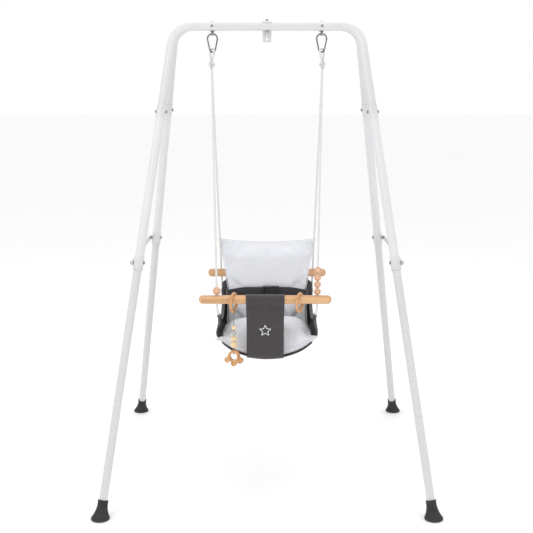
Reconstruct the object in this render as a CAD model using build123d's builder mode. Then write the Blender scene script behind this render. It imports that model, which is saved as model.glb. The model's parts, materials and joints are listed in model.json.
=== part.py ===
"""Folding stand with a hanging toddler seat, each physical piece a separate solid.

Millimetres. +Z is up, the front of the seat faces -Y and the child's right hand is at -X.
The origin is on the floor under the middle of the top bars.
"left" is -X and "right" is +X, as seen from in front.
"""

import os
from math import asin, cos, degrees, pi, radians, sin, sqrt

from build123d import *

# ---------------------------------------------------------------- driving dimensions
# stand
bar_height = 1267.5        # centre of both top bars above the floor
bar_spacing = 30.0         # front bar centre to rear bar centre
top_half_width = 258.0     # leg line at bar height, from the middle
foot_half_width = 432.5    # leg line at the floor, from the middle
foot_half_depth = 430.5
corner_radius = 60.0       # centreline bend of the top tubes
tube_radius = 12.0         # top and middle tubes
leg_radius = 11.0          # lower legs
tube_wall = 1.5
sleeve_radius = 13.5       # swaged tube ends
sleeve_gap = 0.1           # a plugged-in tube inside its sleeve
upper_joint = 1034.5       # middle height of the upper sleeves
lower_joint = 638.0        # middle height of the lower sleeves, and of the spreaders
sleeve_length = 38.0
bolt_radius = 3.0

# feet
foot_radius = 24.0
foot_collar_radius = 13.8
foot_height = 46.0
foot_pad = 5.0             # upright rim of the pad
foot_floor = 8.0           # rubber left under the tube's end

# spreaders
link_height = 14.0
link_thickness = 3.0
front_link_inner = 360.0   # inner face of the front links, from the middle
rear_link_inner = 363.5
link_end_gap = 0.3
pivot_gap = 0.05           # radial clearance of a running pin

# hangers
hanger_x = 152.5
hook_axis = 1247.0         # the line that the hooks swing about
eye_inner = 3.7
eye_outer = 6.2
eye_width = 6.5
hook_rod = 2.2
hook_top_radius = 13.8
hook_bottom_radius = 8.0
hook_length = 50.0         # top rod centre to bottom rod centre
gate_gap = 0.4

# ropes
rope_radius = 3.0
knot_x = 155.0
knot_top = 1173.0
knot_bottom = 1148.0
hole_x = 138.0             # rope holes in the wooden bars
rope_hole = 3.9

# seat
seat_y = -27.0             # middle of the seat: its weight hangs under the hooks
front_bar_y = seat_y - 145.0
back_bar_y = seat_y + 145.0
front_bar_z = 526.0
back_bar_z = 546.0
bar_radius = 12.0
front_bar_length = 365.0
front_bar_shift = -5.0     # the front bar sits a little to the left in its ropes
back_bar_length = 356.0
wing_x = 129.0
wing_bottom = 392.0
canvas = 2.5
sleeve_clear = 0.3
panel_x = -5.0             # the front panel sits a little off the middle
panel_width = 106.0
sling_low = 349.0
sling_half_width = 127.0
sling_rise = 42.0
back_lean = 14.0           # degrees from upright

# belt
belt_z = 504.0
belt_y = seat_y + 70.5
belt_width = 25.0
belt_thickness = 1.5
belt_x = 121.0
belt_end_y = seat_y + 116.0

# beads, rings and the hanging toy
bead_radius = 9.75
single_bead_radius = 11.5
bead_hole = 3.5
ring_radius = 25.0
ring_section = 4.0
ring_hang = bar_radius + ring_section + 0.3
left_ring_x = -92.0
right_ring_x = 90.0
left_ring_yaw = 17.0
right_ring_yaw = 20.0
string_radius = 1.0

SIDES = (("left", -1), ("right", 1))
FRAMES = (("front", -1), ("rear", 1))

os.makedirs("parts", exist_ok=True)


def save(part, name):
    """Label one finished piece and write it under its own name."""
    part.label = name
    export_step(part, f"parts/{name}.step")


def leg_point(side, frame, height):
    """Centre of a leg at one height; side is -1 left or +1 right, frame -1 front or +1 rear."""
    share = (bar_height - height) / bar_height
    x = top_half_width + share * (foot_half_width - top_half_width)
    y = bar_spacing / 2 + share * (foot_half_depth - bar_spacing / 2)
    return Vector(side * x, frame * y, height)


def dome_point(radius, height):
    """Middle of the arc of a round dome: its distance from the axis and its rise above the rim."""
    ball = (radius**2 + height**2) / (2 * height)
    half_angle = asin(radius / ball) / 2
    return ball * sin(half_angle), ball * cos(half_angle) - ball + height


def cross_bolt(centre, inner, outer, side, head=5.5, dome=3.5, shoulder=0.0):
    """Domed bolt along X through a leg: inner and outer are its head seats, from the middle.

    A shoulder is a spacer of the head's radius that stands out from the tube to this X.
    """
    out, rise = dome_point(head, dome)
    with BuildPart() as bolt:
        with BuildSketch(Plane.XY):
            with BuildLine():
                ThreePointArc((inner - dome, 0), (inner - rise, out), (inner, head))
                if shoulder:
                    start = centre.X * side + sleeve_radius
                    Polyline((inner, head), (inner, bolt_radius), (start, bolt_radius), (start, head),
                             (shoulder, head), (shoulder, bolt_radius), (outer, bolt_radius), (outer, head))
                else:
                    Polyline((inner, head), (inner, bolt_radius), (outer, bolt_radius), (outer, head))
                ThreePointArc((outer, head), (outer + rise, out), (outer + dome, 0))
                Line((outer + dome, 0), (inner - dome, 0))
            make_face()
        revolve(axis=Axis.X)
    turned = bolt.part if side > 0 else bolt.part.mirror(Plane.YZ)
    return Pos(0, centre.Y, centre.Z) * turned


def seat_of(centre, side, radius):
    """X where a head meets a leg's tube of this radius, on its inner and outer faces."""
    middle = centre.X * side
    reach = radius * 1.009
    return middle - reach, middle + reach


# ---------------------------------------------------------------- frame bolts
joint_bolts = {}
spreader_bolts = {}
for frame_name, frame in FRAMES:
    link_inner = front_link_inner if frame < 0 else rear_link_inner
    for side_name, side in SIDES:
        upper = leg_point(side, frame, upper_joint)
        inner, outer = seat_of(upper, side, sleeve_radius)
        joint_bolts[frame_name, side_name] = cross_bolt(upper, inner, outer, side)
        lower = leg_point(side, frame, lower_joint)
        inner, outer = seat_of(lower, side, sleeve_radius)
        shoulder = link_inner - link_end_gap
        end = link_inner + link_thickness + link_end_gap
        spreader_bolts[frame_name, side_name] = cross_bolt(lower, inner, end, side, shoulder=shoulder)


# ---------------------------------------------------------------- centre bracket and its bolt
saddle_inner = tube_radius + sleeve_clear
saddle_wall = 2.5
saddle_width = 24.0
saddle_bottom = 1223.5
bracket_hole = 3.0
bracket_hole_z = 1232.0
cap_turn = 50
half_spacing = bar_spacing / 2
with BuildPart() as centre_bracket:
    with BuildSketch(Plane.YZ):
        with BuildLine():
            front_cap = CenterArc((-half_spacing, bar_height), saddle_inner, 90 + cap_turn, -cap_turn)
            Line(front_cap @ 1, (half_spacing, bar_height + saddle_inner))
            CenterArc((half_spacing, bar_height), saddle_inner, 90, -cap_turn)
            offset(amount=saddle_wall, side=Side.LEFT)
        make_face()
        with Locations((0, (saddle_bottom + bar_height + saddle_inner + saddle_wall / 2) / 2)):
            Rectangle(saddle_wall, bar_height + saddle_inner + saddle_wall / 2 - saddle_bottom)
    extrude(amount=saddle_width / 2, both=True)
    with Locations((0, 0, bracket_hole_z)):
        Cylinder(bracket_hole, 4 * saddle_wall, rotation=(90, 0, 0), mode=Mode.SUBTRACT)
    lower_corners = centre_bracket.edges().filter_by(Axis.Y).group_by(Axis.Z)[0]
    fillet(lower_corners, 3)

bracket_top = bar_height + saddle_inner + saddle_wall
bolt_head = 4.8
bolt_dome = 3.8
nut_top = bar_height - tube_radius
nut_bottom = nut_top - 4.5
out, rise = dome_point(bolt_head, bolt_dome)
with BuildPart() as centre_bolt:
    with BuildSketch(Plane.XZ.offset(half_spacing)):
        with BuildLine():
            Polyline((0, nut_bottom), (bolt_head, nut_bottom), (bolt_head, nut_top), (bolt_radius, nut_top),
                     (bolt_radius, bracket_top), (bolt_head, bracket_top))
            ThreePointArc((bolt_head, bracket_top), (out, bracket_top + rise), (0, bracket_top + bolt_dome))
            Line((0, bracket_top + bolt_dome), (0, nut_bottom))
        make_face()
    revolve(axis=Axis((0, -half_spacing, 0), (0, 0, 1)))
with BuildPart(mode=Mode.PRIVATE) as bracket_drill:
    with Locations((0, -half_spacing, bracket_top)):
        Cylinder(bolt_radius, 12)
save(centre_bracket.part - bracket_drill.part, "centre_bracket")
save(centre_bolt.part, "centre_bracket_bolt")


# ---------------------------------------------------------------- hangers
eye_z = hook_axis + eye_inner - hook_rod - 0.8
hanger_width = 12.0
strap_wall = 2.5
hanger_bolts = []
for side_name, side in SIDES:
    centre_x = side * hanger_x
    with BuildPart() as hanger:
        with BuildSketch(Plane.YZ.offset(centre_x)):
            with Locations((half_spacing, bar_height)):
                Circle(saddle_inner + strap_wall)
            with Locations((-1.25, bar_height + 1)):
                Rectangle(3.5, 2 * tube_radius)
            with Locations((half_spacing, bar_height)):
                Circle(saddle_inner, mode=Mode.SUBTRACT)
        extrude(amount=hanger_width / 2, both=True)
        with BuildSketch(Plane.YZ.offset(centre_x)):
            with Locations((-1.25, (bar_height + eye_z) / 2)):
                Rectangle(3.5, bar_height - eye_z)
            with Locations((0, eye_z)):
                Circle(eye_outer)
        extrude(amount=eye_width / 2, both=True)
        with BuildSketch(Plane.YZ.offset(centre_x)):
            with Locations((0, eye_z)):
                Circle(eye_inner)
            with Locations((-half_spacing, bar_height)):
                Circle(tube_radius)
        extrude(amount=hanger_width, both=True, mode=Mode.SUBTRACT)
    out, rise = dome_point(4.0, 3.0)
    seat = 0.5 - half_spacing - tube_radius
    with BuildPart() as hanger_bolt:
        with BuildSketch(Plane.XY.offset(bar_height)):
            with BuildLine():
                ThreePointArc((centre_x, seat - 3), (centre_x + out, seat - rise), (centre_x + 4, seat))
                Polyline((centre_x + 4, seat), (centre_x + bolt_radius, seat), (centre_x + bolt_radius, 2.0),
                         (centre_x, 2.0), (centre_x, seat - 3))
            make_face()
        revolve(axis=Axis((centre_x, 0, bar_height), (0, 1, 0)))
    hanger_bolts.append(hanger_bolt.part)
    save(hanger.part - hanger_bolt.part, f"hanger_strap_{side_name}")
save(Compound(children=hanger_bolts), "hanger_bolts")


# ---------------------------------------------------------------- tubes
def bent_top_tube(frame):
    """The inverted U across the top of one frame, down to its upper sleeves."""
    sleeve_end = upper_joint - sleeve_length / 2 + 2
    ends = [leg_point(side, frame, sleeve_end) for side in (-1, 1)]
    corners = [leg_point(side, frame, bar_height) for side in (-1, 1)]
    with BuildPart() as tube:
        with BuildLine() as spine:
            FilletPolyline(ends[0], corners[0], corners[1], ends[1], radius=corner_radius)
        start = Plane(origin=ends[0], z_dir=corners[0] - ends[0])
        with BuildSketch(start):
            Circle(tube_radius)
            Circle(tube_radius - tube_wall, mode=Mode.SUBTRACT)
        sweep(path=spine.line)
    return tube.part


def sleeved_tube(top, bottom, top_sleeve, bottom_sleeve, plug_radius):
    """The middle tube, with a swaged sleeve at each end that the next tube plugs into."""
    axis_plane = Plane(origin=bottom, z_dir=top - bottom, x_dir=(0, 1, 0))
    section_plane = Plane(origin=bottom, x_dir=axis_plane.x_dir, z_dir=-axis_plane.y_dir)
    length = (top - bottom).length
    top_inner = tube_radius + sleeve_gap
    bottom_inner = plug_radius + sleeve_gap
    inner = tube_radius - tube_wall
    cone = 6.0
    with BuildPart() as tube:
        with BuildSketch(section_plane):
            with BuildLine():
                Polyline((bottom_inner, 0), (sleeve_radius, 0), (sleeve_radius, bottom_sleeve),
                         (tube_radius, bottom_sleeve + cone), (tube_radius, length - top_sleeve - cone),
                         (sleeve_radius, length - top_sleeve), (sleeve_radius, length),
                         (top_inner, length), (top_inner, length - top_sleeve),
                         (inner, length - top_sleeve - cone), (inner, bottom_sleeve + cone),
                         (bottom_inner, bottom_sleeve), close=True)
            make_face()
        revolve(axis=Axis(bottom, top - bottom))
    return tube.part


def lower_leg(top, bottom):
    """The straight lower leg, open at both ends."""
    with BuildPart() as tube:
        with BuildSketch(Plane(origin=bottom, z_dir=top - bottom)):
            Circle(leg_radius)
            Circle(leg_radius - tube_wall, mode=Mode.SUBTRACT)
        extrude(amount=(top - bottom).length)
    return tube.part


def rubber_foot(side, frame):
    """Bell foot: a flat round pad on the floor that narrows to a collar in line with the leg."""
    floor_point = leg_point(side, frame, 0)
    along = (leg_point(side, frame, foot_height) - floor_point).normalized()
    collar_centre = leg_point(side, frame, foot_height)
    half_turned = Vector(along.X / 2, along.Y / 2, 1)
    with BuildPart() as foot:
        with BuildSketch(Plane.XY):
            with Locations((floor_point.X, floor_point.Y)):
                Circle(foot_radius)
        extrude(amount=foot_pad)
        with BuildSketch(Plane.XY.offset(foot_pad)):
            with Locations((floor_point.X, floor_point.Y)):
                Circle(foot_radius)
        with BuildSketch(Plane(origin=leg_point(side, frame, 20), z_dir=half_turned)):
            Circle(foot_collar_radius + 2.5)
        with BuildSketch(Plane(origin=collar_centre, z_dir=along)):
            Circle(foot_collar_radius)
        loft()
        chamfer(foot.edges().group_by(Axis.Z)[0], 1)
        with BuildSketch(Plane(origin=leg_point(side, frame, foot_floor), z_dir=along)):
            Circle(leg_radius)
        extrude(amount=2 * foot_height, mode=Mode.SUBTRACT)
    return foot.part


for frame_name, frame in FRAMES:
    top_tube = bent_top_tube(frame)
    for side_name, side in SIDES:
        key = (frame_name, side_name)
        top = leg_point(side, frame, upper_joint + sleeve_length / 2)
        bottom = leg_point(side, frame, lower_joint - sleeve_length / 2)
        mid_tube = sleeved_tube(top, bottom, sleeve_length, sleeve_length, leg_radius)
        leg = lower_leg(leg_point(side, frame, lower_joint + sleeve_length / 2 - 2),
                        leg_point(side, frame, foot_floor))
        top_tube = top_tube - joint_bolts[key]
        save(mid_tube - joint_bolts[key] - spreader_bolts[key], f"{frame_name}_middle_tube_{side_name}")
        save(leg - spreader_bolts[key], f"{frame_name}_lower_leg_{side_name}")
        save(rubber_foot(side, frame), f"{frame_name}_foot_{side_name}")
    if frame < 0:
        for bolt in [centre_bolt.part, *hanger_bolts]:
            top_tube = top_tube - bolt
    save(top_tube, f"{frame_name}_top_tube")
    both_joint = [joint_bolts[frame_name, side_name] for side_name, side in SIDES]
    both_spreader = [spreader_bolts[frame_name, side_name] for side_name, side in SIDES]
    save(Compound(children=both_joint), f"{frame_name}_joint_bolts")
    save(Compound(children=both_spreader), f"{frame_name}_spreader_bolts")


# ---------------------------------------------------------------- folding spreaders
link_length = leg_point(1, 1, lower_joint).Y
hinge_hole = 2.5
bead_depth = 1.2
hinge_head = 4.5
hinge_dome = 2.6


def spreader_link(frame, side):
    """Flat steel link from a leg to the middle hinge, with a pressed stiffening rib."""
    inner = front_link_inner if frame < 0 else rear_link_inner
    middle = frame * link_length / 2
    rib_face = inner if frame < 0 else inner + link_thickness
    with BuildPart() as link:
        with BuildSketch(Plane.YZ.offset(inner)):
            with Locations((middle, lower_joint)):
                SlotCenterToCenter(link_length, link_height)
            with Locations((frame * link_length, lower_joint)):
                Circle(bolt_radius + pivot_gap, mode=Mode.SUBTRACT)
            with Locations((0, lower_joint)):
                Circle(hinge_hole, mode=Mode.SUBTRACT)
        extrude(amount=link_thickness)
        with BuildSketch(Plane.YZ.offset(rib_face)):
            with Locations((middle, lower_joint)):
                SlotCenterToCenter(link_length - 70, 5)
        extrude(amount=bead_depth * frame)
    return link.part if side > 0 else link.part.mirror(Plane.YZ)


def hinge_rivet(frame, side):
    """Half of the middle hinge's rivet: a domed head and a shank as long as its own link is thick."""
    inner = front_link_inner if frame < 0 else rear_link_inner
    outer_face = inner if frame < 0 else inner + link_thickness
    mate_face = inner + link_thickness if frame < 0 else inner
    out, rise = dome_point(hinge_head, hinge_dome)
    with BuildPart() as rivet:
        with BuildSketch(Plane.XY.offset(lower_joint)):
            with BuildLine():
                Polyline((mate_face, 0), (mate_face, hinge_hole), (outer_face, hinge_hole),
                         (outer_face, hinge_head))
                ThreePointArc((outer_face, hinge_head), (outer_face + frame * rise, out),
                              (outer_face + frame * hinge_dome, 0))
                Line((outer_face + frame * hinge_dome, 0), (mate_face, 0))
            make_face()
        revolve(axis=Axis((0, 0, lower_joint), (1, 0, 0)))
    return rivet.part if side > 0 else rivet.part.mirror(Plane.YZ)


for frame_name, frame in FRAMES:
    for side_name, side in SIDES:
        save(spreader_link(frame, side), f"{frame_name}_spreader_link_{side_name}")
        save(hinge_rivet(frame, side), f"{frame_name}_spreader_rivet_{side_name}")


# ---------------------------------------------------------------- snap hooks and gates
top_centre = hook_axis - hook_top_radius
bottom_centre = hook_axis - hook_length + hook_bottom_radius
side_slope = asin((hook_top_radius - hook_bottom_radius) / (top_centre - bottom_centre))
across = Vector(cos(side_slope), 0, -sin(side_slope))
upper_tangent = Vector(0, 0, top_centre) + across * hook_top_radius
lower_tangent = Vector(0, 0, bottom_centre) + across * hook_bottom_radius
gate_line = (upper_tangent - lower_tangent).normalized()
gate_hinge = lower_tangent + gate_line * 4.0
gate_end = upper_tangent - gate_line * 1.0
hinge_clear = 3.2
lug_half = 0.75
cheek_inner = 1.05
pin_radius = 0.8
gate_eye = 2.7


def snap_hook():
    """Pear-shaped hook in the XZ plane about X = 0, wide end up, open where its gate goes."""
    with BuildPart() as hook:
        with BuildLine(Plane.XZ) as spine:
            nose = Line((gate_end.X, gate_end.Z), (upper_tangent.X, upper_tangent.Z))
            top_arc = CenterArc((0, top_centre), hook_top_radius, -degrees(side_slope),
                                180 + 2 * degrees(side_slope))
            back = Line(top_arc @ 1, (-lower_tangent.X, lower_tangent.Z))
            bottom_arc = CenterArc((0, bottom_centre), hook_bottom_radius, 180 + degrees(side_slope),
                                   180 - 2 * degrees(side_slope))
            rod_end = gate_hinge - gate_line * hinge_clear
            Line(bottom_arc @ 1, (rod_end.X, rod_end.Z))
        with BuildSketch(Plane(origin=gate_end, z_dir=gate_line)):
            Circle(hook_rod)
        sweep(path=spine.line)
        with BuildSketch(Plane.XZ):
            with Locations((gate_hinge.X, gate_hinge.Z)):
                Circle(gate_eye)
            with BuildLine():
                foot_of_lug = gate_hinge - gate_line * (hinge_clear + 1)
                wide = across * 2.0
                Polyline([(p.X, p.Z) for p in (gate_hinge + wide, gate_hinge - wide,
                                               foot_of_lug - wide, foot_of_lug + wide)], close=True)
            make_face()
            with Locations((gate_hinge.X, gate_hinge.Z)):
                Circle(pin_radius, mode=Mode.SUBTRACT)
        extrude(amount=lug_half, both=True)
    return hook.part


def hook_gate():
    """Sprung gate: a rod with two cheeks that straddle the hook's lug."""
    rod_top = gate_end - gate_line * gate_gap
    with BuildPart() as gate:
        with BuildSketch(Plane(origin=gate_hinge + gate_line * hinge_clear, z_dir=gate_line)):
            Circle(hook_rod)
        extrude(amount=(rod_top - gate_hinge).length - hinge_clear)
        with BuildSketch(Plane.XZ):
            with Locations((gate_hinge.X, gate_hinge.Z)):
                Circle(gate_eye)
            with BuildLine():
                neck = gate_hinge + gate_line * (hinge_clear + 1)
                wide = across * 2.0
                Polyline([(p.X, p.Z) for p in (gate_hinge + wide, gate_hinge - wide,
                                               neck - wide, neck + wide)], close=True)
            make_face()
            with Locations((gate_hinge.X, gate_hinge.Z)):
                Circle(pin_radius + pivot_gap, mode=Mode.SUBTRACT)
        extrude(amount=hook_rod, both=True)
        with BuildSketch(Plane.XZ):
            with Locations((gate_hinge.X, gate_hinge.Z)):
                Circle(gate_eye + 0.4)
        extrude(amount=cheek_inner, both=True, mode=Mode.SUBTRACT)
    return gate.part


with BuildPart() as gate_pin:
    with BuildSketch(Plane.XZ):
        with Locations((gate_hinge.X, gate_hinge.Z)):
            Circle(pin_radius)
    extrude(amount=hook_rod + 0.4, both=True)

gate_pins = []
for side_name, side in SIDES:
    place = Pos(side * hanger_x, 0, 0)
    pieces = [snap_hook(), hook_gate(), gate_pin.part]
    if side < 0:
        pieces = [piece.mirror(Plane.YZ) for piece in pieces]
    hook, gate, pin = [place * piece for piece in pieces]
    save(hook, f"snap_hook_{side_name}")
    save(gate, f"hook_gate_{side_name}")
    gate_pins.append(pin)
save(Compound(children=gate_pins), "gate_pins")


# ---------------------------------------------------------------- ropes
def corner_radii(points):
    """Arc radius for each corner of a route: 0.45 of its shorter run over the half turn's tangent."""
    radii = []
    for before, here, after in zip(points, points[1:], points[2:]):
        turn = radians((here - before).get_angle(after - here))
        shorter = min((here - before).length, (after - here).length)
        radii.append(0.45 * shorter * (1 + cos(turn)) / sin(turn))
    return radii


def tube_along(points, radius, hole=0.0):
    """Round tube along straight runs joined by tangent arcs."""
    with BuildPart() as tube:
        with BuildLine() as route:
            FilletPolyline(*points, radius=corner_radii(points))
        with BuildSketch(Plane(origin=points[0], z_dir=points[1] - points[0])):
            Circle(radius)
            if hole:
                Circle(hole, mode=Mode.SUBTRACT)
        sweep(path=route.line)
    return tube.part, route.wire().length


def strand_top(bar_y):
    """Where the strand for a bar leaves the knot: the two strands lie side by side there."""
    return Vector(knot_x, rope_radius + 0.5 if bar_y > 0 else -rope_radius - 0.5, knot_bottom)


def below(bar_y, bar_z, drop):
    """Point of a rope strand that has come straight from its knot through a bar, below that bar."""
    top = strand_top(bar_y)
    down = Vector(hole_x, bar_y, bar_z) - top
    return top + down * ((knot_bottom - bar_z + drop) / (knot_bottom - bar_z))


def rope_route():
    """The right rope from its knot, through both bars and back, passing along the seat's wing."""
    return [
        strand_top(front_bar_y),
        below(front_bar_y, front_bar_z, 32),
        Vector(wing_x, seat_y - 117, 468),
        Vector(wing_x, seat_y - 50, 452),
        Vector(wing_x, seat_y + 26, 455),
        Vector(wing_x + 2, seat_y + 106, 473),
        below(back_bar_y, back_bar_z, 42),
        strand_top(back_bar_y),
    ]


def rope_loop():
    """The rope's upper loop: from the knot, over the hook's bottom rod, and back to the knot.

    The loop stands across the hook, turned so that its two legs show side by side.
    """
    turn = radians(45)
    aside = Vector(sin(turn), cos(turn), 0)
    crown = Vector(0, 0, hook_rod + rope_radius + 2.0)
    spread = 9.2
    hook_bottom = Vector(hanger_x, 0, hook_axis - hook_length)
    foot = Vector(knot_x, 0, knot_top - 4)
    near_foot = foot + aside * rope_radius
    far_foot = foot - aside * rope_radius
    near_corner = hook_bottom + aside * spread + crown
    far_corner = hook_bottom - aside * spread + crown
    with BuildPart() as loop:
        with BuildLine() as route:
            FilletPolyline(near_foot, near_corner, far_corner, far_foot, radius=rope_radius * 1.6)
        with BuildSketch(Plane(origin=near_foot, z_dir=near_corner - near_foot)):
            Circle(rope_radius)
        sweep(path=route.line)
    return loop.part, route.wire().length


def rope_knot(loop, strands):
    """Lumpy overhand knot: three turns of rope wound over each other, with the strands let in."""
    middle = (knot_top + knot_bottom) / 2
    with BuildPart() as knot:
        for lift, tilt, spin in ((-6, 18, 0), (0, -24, 70), (6, 20, 140)):
            with Locations(Location((knot_x, 0, middle + lift), (tilt, tilt / 2, spin))):
                Torus(5.6, rope_radius + 0.3)
        with Locations((knot_x, 0, middle)):
            Cylinder(5.2, knot_top - knot_bottom - 4)
    return knot.part - loop - strands


route = rope_route()
long_rope, rope_length = tube_along(route, rope_radius)
loop, loop_length = rope_loop()
knot = rope_knot(loop, long_rope)
rope_section = pi * rope_radius**2
print("rope radii", [round(r, 1) for r in corner_radii(route)])
print("rope length", round(rope_length), "volume over section", round(long_rope.volume / rope_section))
print("loop length", round(loop_length), "volume over section", round(loop.volume / rope_section))
for side_name, side in SIDES:
    pair = Compound(children=[long_rope, loop]) if side > 0 else Compound(
        children=[long_rope.mirror(Plane.YZ), loop.mirror(Plane.YZ)])
    save(pair, f"rope_{side_name}")
    save(knot if side > 0 else knot.mirror(Plane.YZ), f"rope_knot_{side_name}")


# ---------------------------------------------------------------- wooden bars
def wooden_bar(bar_y, bar_z, length, shift=0.0):
    """Round bar along X with rounded ends and two rope holes drilled along the strands."""
    with BuildPart() as bar:
        with Locations((shift, bar_y, bar_z)):
            Cylinder(bar_radius, length, rotation=(0, 90, 0))
        fillet(bar.edges(), bar_radius - 1)
        for side in (-1, 1):
            strand = below(bar_y, bar_z, 0) - strand_top(bar_y)
            direction = Vector(side * strand.X, strand.Y, strand.Z)
            with BuildSketch(Plane(origin=(side * hole_x, bar_y, bar_z), z_dir=direction)):
                Circle(rope_hole)
            extrude(amount=2 * bar_radius, both=True, mode=Mode.SUBTRACT)
    return bar.part


save(wooden_bar(front_bar_y, front_bar_z, front_bar_length, front_bar_shift), "front_bar")
save(wooden_bar(back_bar_y, back_bar_z, back_bar_length), "back_bar")


# ---------------------------------------------------------------- canvas
fabric_sleeve = bar_radius + sleeve_clear
panel_foot_y = seat_y - 116
with BuildPart() as canvas_front_panel:
    with BuildSketch(Plane.YZ.offset(panel_x)):
        with Locations((front_bar_y, front_bar_z)):
            Circle(fabric_sleeve + canvas)
        with BuildLine():
            FilletPolyline((front_bar_y - fabric_sleeve - canvas / 2, front_bar_z), (panel_foot_y - 11, 358),
                           (panel_foot_y, sling_low - 2), (panel_foot_y + 7, sling_low - 2), radius=6)
        trace(line_width=canvas)
        with Locations((front_bar_y, front_bar_z)):
            Circle(fabric_sleeve, mode=Mode.SUBTRACT)
    extrude(amount=panel_width / 2, both=True)
save(canvas_front_panel.part, "canvas_front_panel")


# the back panel leans in this plane, whose local y runs up the slope
lean = radians(back_lean)
back_up = Vector(0, sin(lean), cos(lean))
back_normal = Vector(0, -cos(lean), sin(lean))
back_foot = Vector(0, back_bar_y, back_bar_z) + back_normal * (fabric_sleeve + canvas / 2)
back_plane = Plane(origin=back_foot, x_dir=(1, 0, 0), z_dir=back_normal)
back_drop = (back_foot.Z - sling_low + 1.5) / cos(lean)
edge_drop = back_drop - sling_rise / cos(lean)
sling_front = panel_foot_y + 8
sling_back = back_foot.Y - back_drop * sin(lean) + 12
with BuildPart() as canvas_seat:
    with BuildSketch(Plane.XZ.offset(-sling_back)):
        with BuildLine():
            edge_z = sling_low + sling_rise
            upper = ThreePointArc((-sling_half_width, edge_z), (0, sling_low), (sling_half_width, edge_z))
            lower = ThreePointArc((-sling_half_width, edge_z - canvas), (0, sling_low - canvas),
                                  (sling_half_width, edge_z - canvas))
            Line(upper @ 0, lower @ 0)
            Line(upper @ 1, lower @ 1)
        make_face()
    extrude(amount=sling_back - sling_front)
    with BuildSketch(back_plane.offset(-canvas / 2)):
        with BuildLine():
            ThreePointArc((-sling_half_width, -edge_drop), (0, -back_drop), (sling_half_width, -edge_drop))
            Polyline((sling_half_width, -edge_drop), (sling_half_width, 0), (-sling_half_width, 0),
                     (-sling_half_width, -edge_drop))
        make_face()
    extrude(amount=canvas)
    with BuildSketch(Plane.YZ):
        with Locations((back_bar_y, back_bar_z)):
            Circle(fabric_sleeve + canvas)
    extrude(amount=118, both=True)
    with BuildSketch(Plane.YZ):
        with Locations((back_bar_y, back_bar_z)):
            Circle(fabric_sleeve)
    extrude(amount=200, both=True, mode=Mode.SUBTRACT)
save(canvas_seat.part, "canvas_seat")


def wing():
    """Side wing: a cloth wall from the sling's edge up to the sleeve that carries the rope.

    The sleeve runs from just behind the front bar down, along the side and up to the back bar.
    """
    points = rope_route()
    radii = corner_radii(points)[1:]
    front_corner, *middle, back_corner, back_top = points[1:]
    sleeve_start = front_corner + (middle[0] - front_corner).normalized() * 22
    sleeve_end = back_corner + (back_top - back_corner).normalized() * 27
    with BuildPart() as cloth:
        with BuildLine() as spine:
            FilletPolyline(sleeve_start, *middle, back_corner, sleeve_end, radius=radii)
        with BuildSketch(Plane(origin=sleeve_start, z_dir=middle[0] - sleeve_start)):
            Circle(rope_radius + 2)
        sweep(path=spine.line)
        with BuildSketch(Plane.YZ.offset(wing_x - canvas / 2)):
            with BuildLine():
                rim = [(p.Y, p.Z) for p in middle]
                Polyline([(middle[0].Y + 16, wing_bottom), (middle[0].Y - 6, wing_bottom + 40), *rim,
                          (seat_y + 109, wing_bottom + 66), (seat_y + 79, wing_bottom + 10)], close=True)
            make_face()
        extrude(amount=canvas)
    with BuildPart() as bore:
        with BuildLine() as core:
            FilletPolyline(front_corner, *middle, back_corner, back_top, radius=radii)
        with BuildSketch(Plane(origin=front_corner, z_dir=middle[0] - front_corner)):
            Circle(rope_radius + 0.3)
        sweep(path=core.line)
    return cloth.part - bore.part


right_wing = wing()
save(right_wing, "canvas_wing_right")
save(right_wing.mirror(Plane.YZ), "canvas_wing_left")


# ---------------------------------------------------------------- cushions
seat_cushion_front = seat_y - 112
seat_cushion_back = seat_y + 54
seat_cushion_half = 121.0
cushion_crown = 440.0
sling_curve = (sling_half_width**2 + sling_rise**2) / (2 * sling_rise)
cushion_edge = sling_low + sling_curve - sqrt(sling_curve**2 - seat_cushion_half**2) + 2
with BuildPart() as seat_cushion:
    with BuildSketch(Plane.XZ.offset(-seat_cushion_back)):
        with BuildLine():
            under = ThreePointArc((-seat_cushion_half, cushion_edge), (0, sling_low + 1.5),
                                  (seat_cushion_half, cushion_edge))
            over = ThreePointArc((-seat_cushion_half, cushion_edge + 18), (0, cushion_crown),
                                 (seat_cushion_half, cushion_edge + 18))
            Line(under @ 0, over @ 0)
            Line(under @ 1, over @ 1)
        make_face()
    extrude(amount=seat_cushion_back - seat_cushion_front)
    fillet(seat_cushion.edges().filter_by(Axis.Z), 20)
save(seat_cushion.part, "seat_cushion")

back_cushion_thickness = 38.0
back_cushion_top = 104.0 / cos(lean)
back_cushion_waist = (belt_z - back_foot.Z - 10) / cos(lean)
back_cushion_bottom = -147.0 / cos(lean)
with BuildPart() as back_cushion:
    with BuildSketch(back_plane.offset(canvas / 2 + 1.2)):
        Polygon((-136, back_cushion_top), (-116, back_cushion_waist), (-120, back_cushion_bottom),
                (120, back_cushion_bottom), (116, back_cushion_waist), (136, back_cushion_top), align=None)
    extrude(amount=back_cushion_thickness)
    fillet(back_cushion.edges().filter_by(lambda edge: abs(edge.tangent_at(0).Y) > 0.9), 14)
    fillet(back_cushion.edges().group_by(SortBy.LENGTH)[-1], 8)
save(back_cushion.part, "back_cushion")


# ---------------------------------------------------------------- belt and buckle
buckle_height = 30.0
buckle_depth = 10.0
buckle_y = belt_y - 2.0
socket_left = 4.0
socket_right = 37.0
plug_left = -13.0
strap_channel = 1.1        # half height of the gap that a strap runs in
prong_depth = 3.6
prong_y = buckle_y - 0.9   # the prongs pass in front of the strap when the plug comes out


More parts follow.
